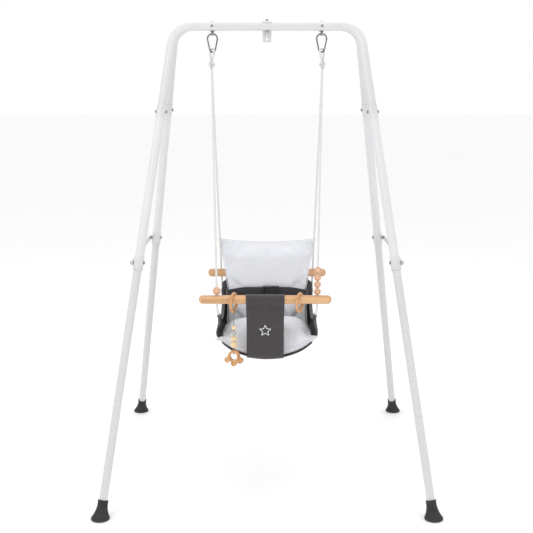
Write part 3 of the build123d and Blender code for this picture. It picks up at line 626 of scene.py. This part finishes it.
class Cloth:
    """A rectangular sheet as a grid of points, its rows along the cloth and its columns across it."""

    def __init__(self, rows):
        self.rows = rows
        self.across = len(rows[0])
        self.drop = run_lengths([row[self.across // 2] for row in rows])
        self.width = max(run_lengths(row)[-1] for row in rows)

    def normal(self, row, column):
        """Unit vector out of the cloth's front face at a grid point."""
        rows, last = self.rows, self.across - 1
        down = rows[min(row + 1, len(rows) - 1)][column] - rows[max(row - 1, 0)][column]
        side = rows[row][min(column + 1, last)] - rows[row][max(column - 1, 0)]
        return side.cross(down).normalized()

    def sew(self, name, pairs, lift):
        """A row of stitches over (row, column) pairs, lifted off the cloth's middle."""
        points, normals = [], []
        for row, column in pairs:
            normal = self.normal(row, column)
            points.append(self.rows[row][column] + normal * lift)
            normals.append(normal * (1 if lift > 0 else -1))
        return stitches(name, points, normals)

    def thick_piece(self, name, thickness, hem_columns, material, slot):
        """Closed mesh of the cloth, twice as thick in the hems along both edges."""
        vertices, uvs = [], []
        count = len(self.rows) * self.across
        for face in (1, -1):
            for index, row in enumerate(self.rows):
                for column, point in enumerate(row):
                    edge = min(column, self.across - 1 - column)
                    hem = 1.0 if edge <= hem_columns else 0.62
                    vertices.append(point + self.normal(index, column) * face * thickness / 2 * hem)
                    uvs.append((self.width * column / (self.across - 1), self.drop[index]))
        front = grid_faces(len(self.rows), self.across)
        faces = front + [tuple(count + index for index in reversed(face)) for face in front]
        border = [row * self.across + column for row, column in outline(len(self.rows), self.across)]
        for here, after in zip(border, border[1:] + border[:1]):
            faces.append((after, here, count + here, count + after))
        return piece(name, vertices, faces, material, slot, uvs)


def rounded(corners, radius, steps=7):
    """A cloth's section: straight runs, each inner corner turned by a smooth curve of this reach."""
    path = [corners[0]]
    for before, here, after in zip(corners, corners[1:], corners[2:]):
        start = here + (before - here).normalized() * min(radius, (before - here).length * 0.48)
        end = here + (after - here).normalized() * min(radius, (after - here).length * 0.48)
        for step in range(steps + 1):
            share = step / steps
            path.append(start.lerp(here, share).lerp(here.lerp(end, share), share))
    path.append(corners[-1])
    return path


def round_bar(centre, start_angle, turn, steps=18):
    """Section of a sleeve round a wooden bar, in the YZ plane; 0 degrees is +Y and 90 is up."""
    arc = []
    for step in range(steps + 1):
        angle = radians(start_angle + turn * step / steps)
        arc.append(centre + Vector((0, cos(angle), sin(angle))) * sleeve_radius)
    return arc


def ripple(x, y, z, scale, depth, seed=0.0):
    """Gentle uneven waves in cloth."""
    return depth * noise.noise(Vector((x * scale + seed, y * scale, z * scale * 0.7)))


# ---------------- ropes, loops and knots
def strand_top(bar):
    """Where a bar's strand leaves the right knot; the two strands lie side by side there."""
    aside = 0.0005
    return Vector((knot_x, (rope_radius + aside) * (1 if bar.y > seat_y else -1), knot_bottom))


def on_strand(bar, height):
    """Point at this height above the bar's middle, on the straight strand through its hole."""
    top = strand_top(bar)
    down = Vector((hole_x, bar.y, bar.z)) - top
    return top + down * ((top.z - bar.z - height) / (top.z - bar.z))


def rope_route():
    """The right rope from its knot, through both bars and back, past the wing."""
    return [
        strand_top(front_bar),
        on_strand(front_bar, 0.036),
        on_strand(front_bar, 0.0),
        on_strand(front_bar, -0.032),
        Vector((wing_x, seat_y - 0.117, 0.468)),
        Vector((wing_x, seat_y - 0.050, 0.452)),
        Vector((wing_x, seat_y + 0.026, 0.455)),
        Vector((wing_x + 0.002, seat_y + 0.106, 0.473)),
        on_strand(back_bar, -0.042),
        on_strand(back_bar, 0.0),
        on_strand(back_bar, 0.036),
        strand_top(back_bar),
    ]


def loop_route():
    """The rope's loop from the knot, over the hook's bottom rod and back, turned half sideways."""
    turn = radians(45)
    aside = Vector((sin(turn), cos(turn), 0))
    top = Vector((hook_x, 0, hook_bottom_z + 0.0085))
    foot = Vector((knot_x, 0, knot_top - 0.005))
    return [foot + aside * 0.003, foot + aside * 0.0045 + Vector((0, 0, 0.012)), top + aside * 0.0102,
            top - aside * 0.0102, foot - aside * 0.0045 + Vector((0, 0, 0.012)), foot - aside * 0.003]


def knot_route():
    """Closed overhand turn seen from in front, a little taller than wide."""
    centre = Vector((knot_x, 0, (knot_top + knot_bottom) / 2))
    points = []
    for step in range(21):
        angle = 2 * pi * step / 21
        x = sin(angle) + 2 * sin(2 * angle)
        z = cos(angle) - 2 * cos(2 * angle)
        points.append(centre + Vector((0.0025 * x, -0.0036 * sin(3 * angle), 0.0031 * z)))
    return points


route_line = even(smooth_line(rope_route()), rope_step)
for side_name, side in SIDES:
    flip = Vector((side, 1, 1))
    long_line = [point * flip for point in route_line]
    loop_line = [point * flip for point in even(smooth_line(loop_route()), rope_step)]
    knot_line = [point * flip for point in even(smooth_line(knot_route(), closed=True), rope_step)]
    cord = gathered([braid(long_line, rope_radius), braid(loop_line, rope_radius)])
    rope = piece(f"braided_rope_{side_name}", *cord[:2], "white_rope", "white_rope", cord[2])
    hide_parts(f"rope_{side_name}")
    if (knot_line[0] - knot_line[-1]).length < 0.0005:
        knot_line.pop()
    knotted = braid(knot_line, rope_radius, closed=True)
    knot = piece(f"rope_knot_turns_{side_name}", *knotted[:2], "white_rope", "white_rope", knotted[2])
    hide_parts(f"rope_knot_{side_name}")


# ---------------- front panel
panel_low, panel_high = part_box("canvas_front_panel")
panel_x = (panel_low.x + panel_high.x) / 2
panel_width = panel_high.x - panel_low.x
panel_foot_y = seat_y - 0.116


def front_panel():
    """Canvas panel: a sleeve round the front bar, a flat drop and a turn under the seat."""
    seam_z = front_bar.z - 0.018
    tail = Vector((0, front_bar.y - sleeve_radius + 0.0030, seam_z - 0.006))
    sleeve = round_bar(front_bar, -80, 260)
    foot = [Vector((0, front_bar.y - sleeve_radius, front_bar.z)),
            Vector((0, panel_foot_y - 0.011, 0.366)),
            Vector((0, panel_foot_y - 0.003, sling_low - 0.0005)),
            Vector((0, panel_foot_y + 0.012, sling_low - 0.0037))]
    drop = even(rounded(foot, 0.014), 0.0035)
    section = [tail, tail.lerp(sleeve[0], 0.5)] + sleeve + drop[1:]
    columns = 37
    rows = []
    for index, point in enumerate(section):
        on_drop = 1 if index > len(section) - len(drop) else 0
        row = []
        for column in range(columns):
            across = 2 * column / (columns - 1) - 1
            narrow = 0.0012 * on_drop * smooth(0.0, 0.06, front_bar.z - point.z)
            x = panel_x + across * (panel_width / 2 - narrow)
            depth = 0.0016 * on_drop * smooth(0.0, 0.03, front_bar.z - point.z)
            depth *= smooth(0.0, 0.03, point.z - sling_low)
            wave = ripple(x, 0.0, point.z, 16, depth * 1.6, 3.1)
            wave += ripple(x, 0.0, point.z, 42, depth * 0.6, 8.7)
            pinch = 0.0011 * on_drop * (1 - smooth(0.0, 0.006, abs(point.z - seam_z)))
            lift = 0.8 * on_drop * (sling_height(x) - sling_low) * smooth(0.05, 0.0, point.z - sling_low)
            row.append(Vector((x, point.y - wave + pinch, point.z + lift)))
        rows.append(row)
    cloth = Cloth(rows)
    made = cloth.thick_piece("front_panel_cloth", shown_canvas, 2, "grey_canvas", "grey_canvas")
    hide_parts("canvas_front_panel")
    front_rows = range(len(rows) - len(drop), len(rows) - 2)
    for number, column in enumerate((2, columns - 3)):
        pairs = [(row, column) for row in front_rows]
        cloth.sew(f"front_panel_edge_stitch_{number}", pairs, -stitch_lift)
    nearest = min(front_rows, key=lambda row: abs(rows[row][0].z - seam_z))
    for number, row in enumerate((nearest, nearest + 1)):
        pairs = [(row, column) for column in range(1, columns - 1)]
        cloth.sew(f"front_panel_seam_stitch_{number}", pairs, -stitch_lift)
    return cloth


panel_cloth = front_panel()


def star_mark(cloth):
    """Plain embroidered star on the panel: satin stitches laid across a five-pointed outline."""
    spine = [row[cloth.across // 2].z for row in cloth.rows]
    centre_z = 0.437
    corners = []
    for point in range(10):
        angle = pi / 2 + point * pi / 5
        reach = 0.0165 if point % 2 == 0 else 0.0075
        corners.append((panel_x + reach * cos(angle), centre_z + reach * sin(angle)))

    def on_panel(x, z):
        row = min(range(len(spine) // 3, len(spine)), key=lambda index: abs(spine[index] - z))
        other = row - 1 if spine[row] < z else row + 1
        share = (z - spine[row]) / (spine[other] - spine[row])
        left, right = cloth.rows[row][0].x, cloth.rows[row][-1].x
        column = int((x - left) / (right - left) * (cloth.across - 1))
        here = cloth.rows[row][column].lerp(cloth.rows[other][column], share)
        outward = -cloth.normal(row, column)
        return Vector((x, here.y, z)) + outward * 0.0011, outward

    parts = []
    for (x0, z0), (x1, z1) in zip(corners, corners[1:] + corners[:1]):
        length = sqrt((x1 - x0) ** 2 + (z1 - z0) ** 2)
        heading = ((x1 - x0) / length, (z1 - z0) / length)
        count = round(length / 0.00055)
        for number in range(count):
            share = (number + 0.5) / count
            x, z = mix(x0, x1, share), mix(z0, z1, share)
            middle_point, normal = on_panel(x, z)
            slant = Vector((-heading[1] + 0.25 * heading[0], 0, heading[0] + 0.25 * heading[1])).normalized()
            along = (slant - normal * slant.dot(normal)).normalized()
            across = along.cross(normal)
            vertices = []
            for place in (-1, -0.5, 0, 0.5, 1):
                thick = 0.00034 * sqrt(max(0.05, 1 - place**2))
                centre = middle_point + along * place * 0.00135 + normal * 0.00045 * (1 - place**2)
                vertices += ring(centre, across, normal, thick, 5)
            parts.append((vertices, tube_faces(5, 5), [(0, 0)] * len(vertices)))
    vertices, faces, _ = gathered(parts)
    return piece("front_panel_star", vertices, faces, "white_thread")


star_mark(panel_cloth)


# ---------------- sling
def sling():
    """The seat's canvas: a cradle under the cushion, a leaning back and a sleeve on the back bar."""
    columns = 61
    middle_sink = canvas / 2
    neck = 0.929
    sleeve = round_bar(back_bar, 180 - lean_degrees, -262)
    hidden = back_top - back_up * 0.034 - back_normal * 0.0030
    columns_of_points = []
    for column in range(columns):
        across = 2 * column / (columns - 1) - 1
        x = across * sling_half
        z = sling_height(x) - middle_sink
        drop = (back_top.z - z) / cos(back_lean)
        fold = back_top - back_up * drop
        front = Vector((0, panel_foot_y + 0.008, z))
        lip = 0.004 * smooth(0.8, 1.0, abs(across))
        corners = [front, Vector((0, fold.y, z)), back_top]
        run = rounded(corners, 0.036, 10)
        seat_run = even([run[0], run[1]], (run[1] - run[0]).length / 22)
        back_run = even([run[-2], run[-1]], (run[-1] - run[-2]).length / 24)
        path = seat_run[:-1] + run[1:-1] + back_run[1:-1] + sleeve + [sleeve[-1].lerp(hidden, 0.5), hidden]
        placed = []
        for index, point in enumerate(path):
            in_seat = index < len(seat_run) + 6
            in_sleeve = index >= len(path) - len(sleeve) - 2
            from_top = (back_top - point).length
            taper = neck if in_sleeve else 1.0
            if not in_seat and not in_sleeve:
                taper = mix(1.0, neck, smooth(0.03, 0.0, from_top))
            depth = 0.0 if in_sleeve else 0.0028 * smooth(0.0, 0.05, from_top)
            wave = ripple(x, point.y, point.z, 11, depth, 5.3)
            wave += ripple(x, point.y, point.z, 30, depth * 0.35, 1.9)
            push = Vector((0, 0, -abs(wave))) if in_seat else back_normal * -abs(wave)
            rise = Vector((0, 0, lip if in_seat else 0))
            placed.append(Vector((x * taper, point.y, point.z)) + push + rise)
        columns_of_points.append(placed)
    rows = [[line[index] for line in columns_of_points] for index in range(len(columns_of_points[0]))]
    cloth = Cloth(rows)
    made = cloth.thick_piece("sling_cloth", shown_canvas, 3, "grey_canvas", "grey_canvas")
    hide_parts("canvas_seat")
    for number, column in enumerate((3, columns - 4)):
        for face_name, lift in (("in", stitch_lift), ("out", -stitch_lift)):
            pairs = [(row, column) for row in range(2, len(rows) - 24)]
            cloth.sew(f"sling_edge_stitch_{face_name}_{number}", pairs, lift)
    top_rows = len(rows) - 21
    for number, row in enumerate((top_rows - 7, top_rows - 8)):
        pairs = [(row, column) for column in range(2, columns - 2)]
        cloth.sew(f"sling_seam_stitch_{number}", pairs, -stitch_lift)
    return cloth


sling_cloth = sling()


# ---------------- side wings
def wing(side_name, side):
    """Side wing: cloth sewn to the sling's edge, rolled into a sleeve round the rope at its top."""
    low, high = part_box(f"canvas_wing_{side_name}")
    line = [point * Vector((side, 1, 1)) for point in route_line]
    turn_points = [index for index, point in enumerate(line) if point.z < front_bar.z - 0.03]
    first, last = turn_points[0], turn_points[-1]
    rope_line = line[first:last + 1]
    begin = next(index for index, point in enumerate(rope_line) if point.y > low.y + 0.002 and point.z < 0.5)
    rope_line = rope_line[begin:]
    above = [index for index, point in enumerate(rope_line) if point.y > 0.0 and point.z > high.z - 0.003]
    ending = above[0] if above else len(rope_line) - 1
    rope_line = even(rope_line[:ending + 1], 0.004)
    count = len(rope_line)
    hem_radius = rope_radius + 0.0011
    inner_x = side * (sling_half - 0.0005)
    front_y = seat_y - 0.091
    back_y = 0.0645
    climb_from = 0.72
    rope_column, seam_column = 8, 16
    rows = []
    for index, top in enumerate(rope_line):
        share = index / (count - 1)
        heading = heading_at(rope_line, index)
        foot_y = mix(front_y, back_y, min(1.0, share / climb_from))
        foot = Vector((inner_x, foot_y, sling_height(sling_half) + 0.001))
        if share > climb_from:
            climb = (share - climb_from) / (1 - climb_from)
            start = back_top - back_up * ((back_top.z - foot.z) / cos(back_lean))
            end = back_top - back_up * 0.024
            on_back = start.lerp(end, climb)
            foot = Vector((inner_x, on_back.y, on_back.z))
        toward = foot - top
        toward = (toward - heading * toward.dot(heading)).normalized()
        outward = heading.cross(toward)
        outward *= 1 if outward.x * side > 0 else -1
        roll = []
        for step in range(13):
            angle = radians(-62 + 322 * step / 12)
            spoke = toward * cos(angle) - outward * sin(angle)
            roll.append(top + spoke * hem_radius)
        below = roll[-1]
        wall = []
        steps = 16
        for step in range(1, steps + 1):
            down = step / steps
            point = below.lerp(foot, down)
            belly = sin(pi * down**2.2) * mix(wing_bulge, 0.005, smooth(0.6, 0.9, share))
            crease = ripple(point.x, point.y, point.z, 26, 0.0022, 2.2 + side) * sin(pi * down)
            wall.append(point + Vector((side * (belly + crease), 0, 0)))
        tuck = roll[0] + toward * 0.004 - outward * 0.0006
        rows.append([tuck] + roll + wall)
    cloth = Cloth(rows)
    made = cloth.thick_piece(f"wing_cloth_{side_name}", 0.0018, 0, "grey_canvas", "grey_canvas")
    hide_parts(f"canvas_wing_{side_name}")
    for face_name, lift in (("a", 0.0009), ("b", -0.0009)):
        pairs = [(row, seam_column) for row in range(1, len(rows) - 1)]
        cloth.sew(f"wing_stitch_{face_name}_{side_name}", pairs, lift)


for side_name, side in SIDES:
    wing(side_name, side)


# ---------------- cushions
def pillow(name, shape, across, along, replaced):
    """A sewn cushion: two panels joined round their edge, blown up by cloth simulation.

    shape(u, v, face) gives the start form for u and v from -1 to 1, face 1 on top and 0 below.
    """
    vertices, uvs, seam = [], [], []
    index_of = {}
    low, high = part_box(replaced)
    size = high - low
    for face in (1, 0):
        for row in range(along):
            for column in range(across):
                border = row in (0, along - 1) or column in (0, across - 1)
                if face == 0 and border:
                    index_of[0, row, column] = index_of[1, row, column]
                    continue
                u = 2 * column / (across - 1) - 1
                v = 2 * row / (along - 1) - 1
                index_of[face, row, column] = len(vertices)
                if border:
                    seam.append(len(vertices))
                vertices.append(shape(u, v, face))
                uvs.append((u * size.x / 2, v * max(size.y, size.z) / 2))
    faces = []
    for face in (1, 0):
        for quad in grid_faces(along, across):
            corners = tuple(index_of[face, *divmod(corner, across)] for corner in quad)
            faces.append(corners if face else corners[::-1])
    made = piece(name, vertices, faces, "pale_cushion", "pale_cushion", uvs)
    rest = [Vector(point) for point in vertices]
    held = made.vertex_groups.new(name="held")
    under = [index_of[0, row, column] for row in range(1, along - 1) for column in range(1, across - 1)]
    held.add(seam + under, 1.0, "REPLACE")
    swell(made, rest)
    made.vertex_groups.clear()
    order = [index_of[1, row, column] for row, column in outline(along, across)]
    border = [made.data.vertices[index].co.copy() for index in order]
    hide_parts(replaced)
    return made, border


def swell(made, rest, pressure=3.2, cap=0.016):
    """Blow the cushion up with a short cloth simulation and keep the result."""
    scene = bpy.context.scene
    last_frame = 20
    scene.frame_start = 1
    scene.frame_end = last_frame
    modifier = made.modifiers.new("swell", "CLOTH")
    settings = modifier.settings
    settings.quality = 6
    settings.mass = 0.25
    settings.tension_stiffness = 18
    settings.compression_stiffness = 12
    settings.shear_stiffness = 6
    settings.bending_stiffness = 0.35
    settings.use_pressure = True
    settings.uniform_pressure_force = pressure
    settings.shrink_min = -0.07
    settings.vertex_group_mass = "held"
    settings.effector_weights.gravity = 0
    modifier.collision_settings.use_self_collision = False
    for number in range(1, last_frame + 1):
        scene.frame_set(number)
    graph = bpy.context.evaluated_depsgraph_get()
    blown = made.evaluated_get(graph).to_mesh()
    places = [vertex.co.copy() for vertex in blown.vertices]
    made.evaluated_get(graph).to_mesh_clear()
    made.modifiers.remove(modifier)
    scene.frame_set(1)
    for vertex, start, end in zip(made.data.vertices, rest, places):
        move = end - start
        if move.length > cap:
            move = move.normalized() * cap
        vertex.co = start + move
    made.data.update()


def refine(made):
    """One level of subdivision, applied."""
    modifier = made.modifiers.new("smooth", "SUBSURF")
    modifier.levels = 1
    modifier.render_levels = 1
    graph = bpy.context.evaluated_depsgraph_get()
    finer = bpy.data.meshes.new_from_object(made.evaluated_get(graph))
    made.modifiers.clear()
    made.data = finer
    finer.shade_smooth()


def welt(name, border, radius=0.0011):
    """Narrow sewn ridge that follows a cushion's edge."""
    line = even(border + border[:1], 0.003)[:-1]
    vertices = []
    sides = 8
    for here, (aside, other) in zip(line, frames_along(line, closed=True)):
        vertices += ring(here, aside, other, radius, sides)
    faces = tube_faces(len(line), sides, closed=True)
    uvs = [(index % sides * radius, index // sides * 0.003) for index in range(len(vertices))]
    return piece(name, vertices, faces, "pale_cushion", "pale_cushion", uvs)


seat_low, seat_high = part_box("seat_cushion")
seat_half = seat_high.x - 0.003


def seat_shape(u, v, face):
    """Start form of the seat cushion: it lies in the sling, with its front corners drawn out."""
    front = max(0.0, -v)
    rear = smooth(0.1, 1.0, v)
    flare = 0.017 * smooth(0.70, 1.0, front) * abs(u) ** 2
    half = mix(seat_half + 0.0105, seat_half + 0.001, smooth(0.2, 1.0, v))
    x = u * (half * (1 - 0.02 * (1 - v * v)) + flare)
    y = mix(seat_low.y + 0.003, seat_high.y, (v * (1 - 0.03 * (1 - u * u)) + 1) / 2)
    ground = sling_height(x) + 0.0015
    corner = front**4 * abs(u) ** 5
    seam_z = ground + 0.012 + 0.008 * front**3 * (1 - abs(u)) + (0.007 if u > 0 else -0.003) * corner
    seam_z = mix(seam_z, max(seam_z, 0.407), rear)
    full = ((1 - u**8) * (1 - v**8)) ** 0.5
    if face:
        crown = seat_high.z - 0.014 - 0.006 * u * u + (0.004 * u if u > 0 else 0.0)
        return Vector((x, y, mix(seam_z, max(crown, seam_z + 0.012), full)))
    return Vector((x, y, mix(seam_z, ground, min(1.0, full * 1.5))))


back_low, back_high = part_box("back_cushion")
back_foot_reach = -0.150 / cos(back_lean)
back_top_reach = 0.099 / cos(back_lean)


def back_shape(u, v, face):
    """Start form of the back cushion: wider at its top, where the corners stand out as ears."""
    top = max(0.0, v)
    reach = mix(back_foot_reach, back_top_reach, (v + 1) / 2)
    above_belt = back_top.z + reach * cos(back_lean) - belt.z + 0.010
    half = 0.115 + (0.175 * above_belt if above_belt > 0 else 0.05 * -above_belt)
    half += 0.004 * top**5 * abs(u) ** 3
    reach -= 0.011 * top**3 * (1 - u * u) ** 0.8
    seam = 0.015
    full = ((1 - u**4) * (1 - v**4)) ** 0.55
    lift = mix(seam, 0.036, full) if face else mix(seam, 0.0015, min(1.0, full * 2.2))
    base = back_top + back_up * reach + back_normal * (canvas / 2 + 0.0012 + lift)
    return Vector((u * half, base.y, base.z))


def press_belt(made):
    """Let the belt press a soft groove across the cushion's face."""
    for vertex in made.data.vertices:
        point = vertex.co
        groove = 1 - smooth(0.004, 0.034, abs(point.z - belt.z))
        limit = belt_front_y + 0.0030
        if point.y < limit + 0.012:
            wanted = max(point.y, limit) + 0.003 * groove
            vertex.co.y = mix(point.y, wanted, groove)
    made.data.update()


seat_pillow, seat_border = pillow("seat_cushion_cloth", seat_shape, 49, 39, "seat_cushion")
back_pillow, back_border = pillow("back_cushion_cloth", back_shape, 49, 43, "back_cushion")
press_belt(back_pillow)
refine(seat_pillow)
refine(back_pillow)
welt("seat_cushion_seam", seat_border)
welt("back_cushion_seam", back_border)


# ---------------- belt
def strap(name, line, width, thickness, replaced):
    """Flat webbing that stands on its edge and follows a line."""
    half, edge = width / 2, thickness / 2
    vertices, uvs = [], []
    section = [(edge, -half + edge), (edge, half - edge), (0, half), (-edge, half - edge),
               (-edge, -half + edge), (0, -half)]
    up = Vector((0, 0, 1))
    for index, (here, reach) in enumerate(zip(line, run_lengths(line))):
        heading = heading_at(line, index)
        out = heading.cross(up).normalized()
        for offset, rise in section:
            vertices.append(here + out * offset + up * rise)
            uvs.append((reach, rise + (0.1 if offset < 0 else 0.0)))
    faces = tube_faces(len(line), len(section))
    made = piece(name, vertices, faces, "black_webbing", "black_webbing", uvs)
    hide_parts(replaced)


belt_low, belt_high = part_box("belt_right")
belt_thickness = 0.0015
belt_y = belt_low.y + belt_thickness / 2
belt_x = belt_high.x - belt_thickness / 2
belt_width = belt_high.z - belt_low.z - 0.0006
for side_name, side in SIDES:
    start_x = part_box("belt_left")[1].x if side < 0 else belt_low.x
    points = [
        Vector((start_x, belt_y, belt.z)),
        Vector((side * 0.046, belt_y, belt.z)),
        Vector((side * 0.072, belt_y, belt.z)),
        Vector((side * 0.100, belt_y - 0.0005, belt.z - 0.005)),
        Vector((side * (belt_x - 0.003), belt_y + 0.001, belt.z - 0.009)),
        Vector((side * (belt_x + 0.0012), belt_y + 0.022, belt.z - 0.010)),
        Vector((side * belt_x, belt_high.y, belt.z - 0.010)),
    ]
    belt_line = even(smooth_line(points), 0.002)
    strap(f"belt_webbing_{side_name}", belt_line, belt_width, belt_thickness, f"belt_{side_name}")


# ---------------- the rest
paint_cad_nodes()
camera()
studio()
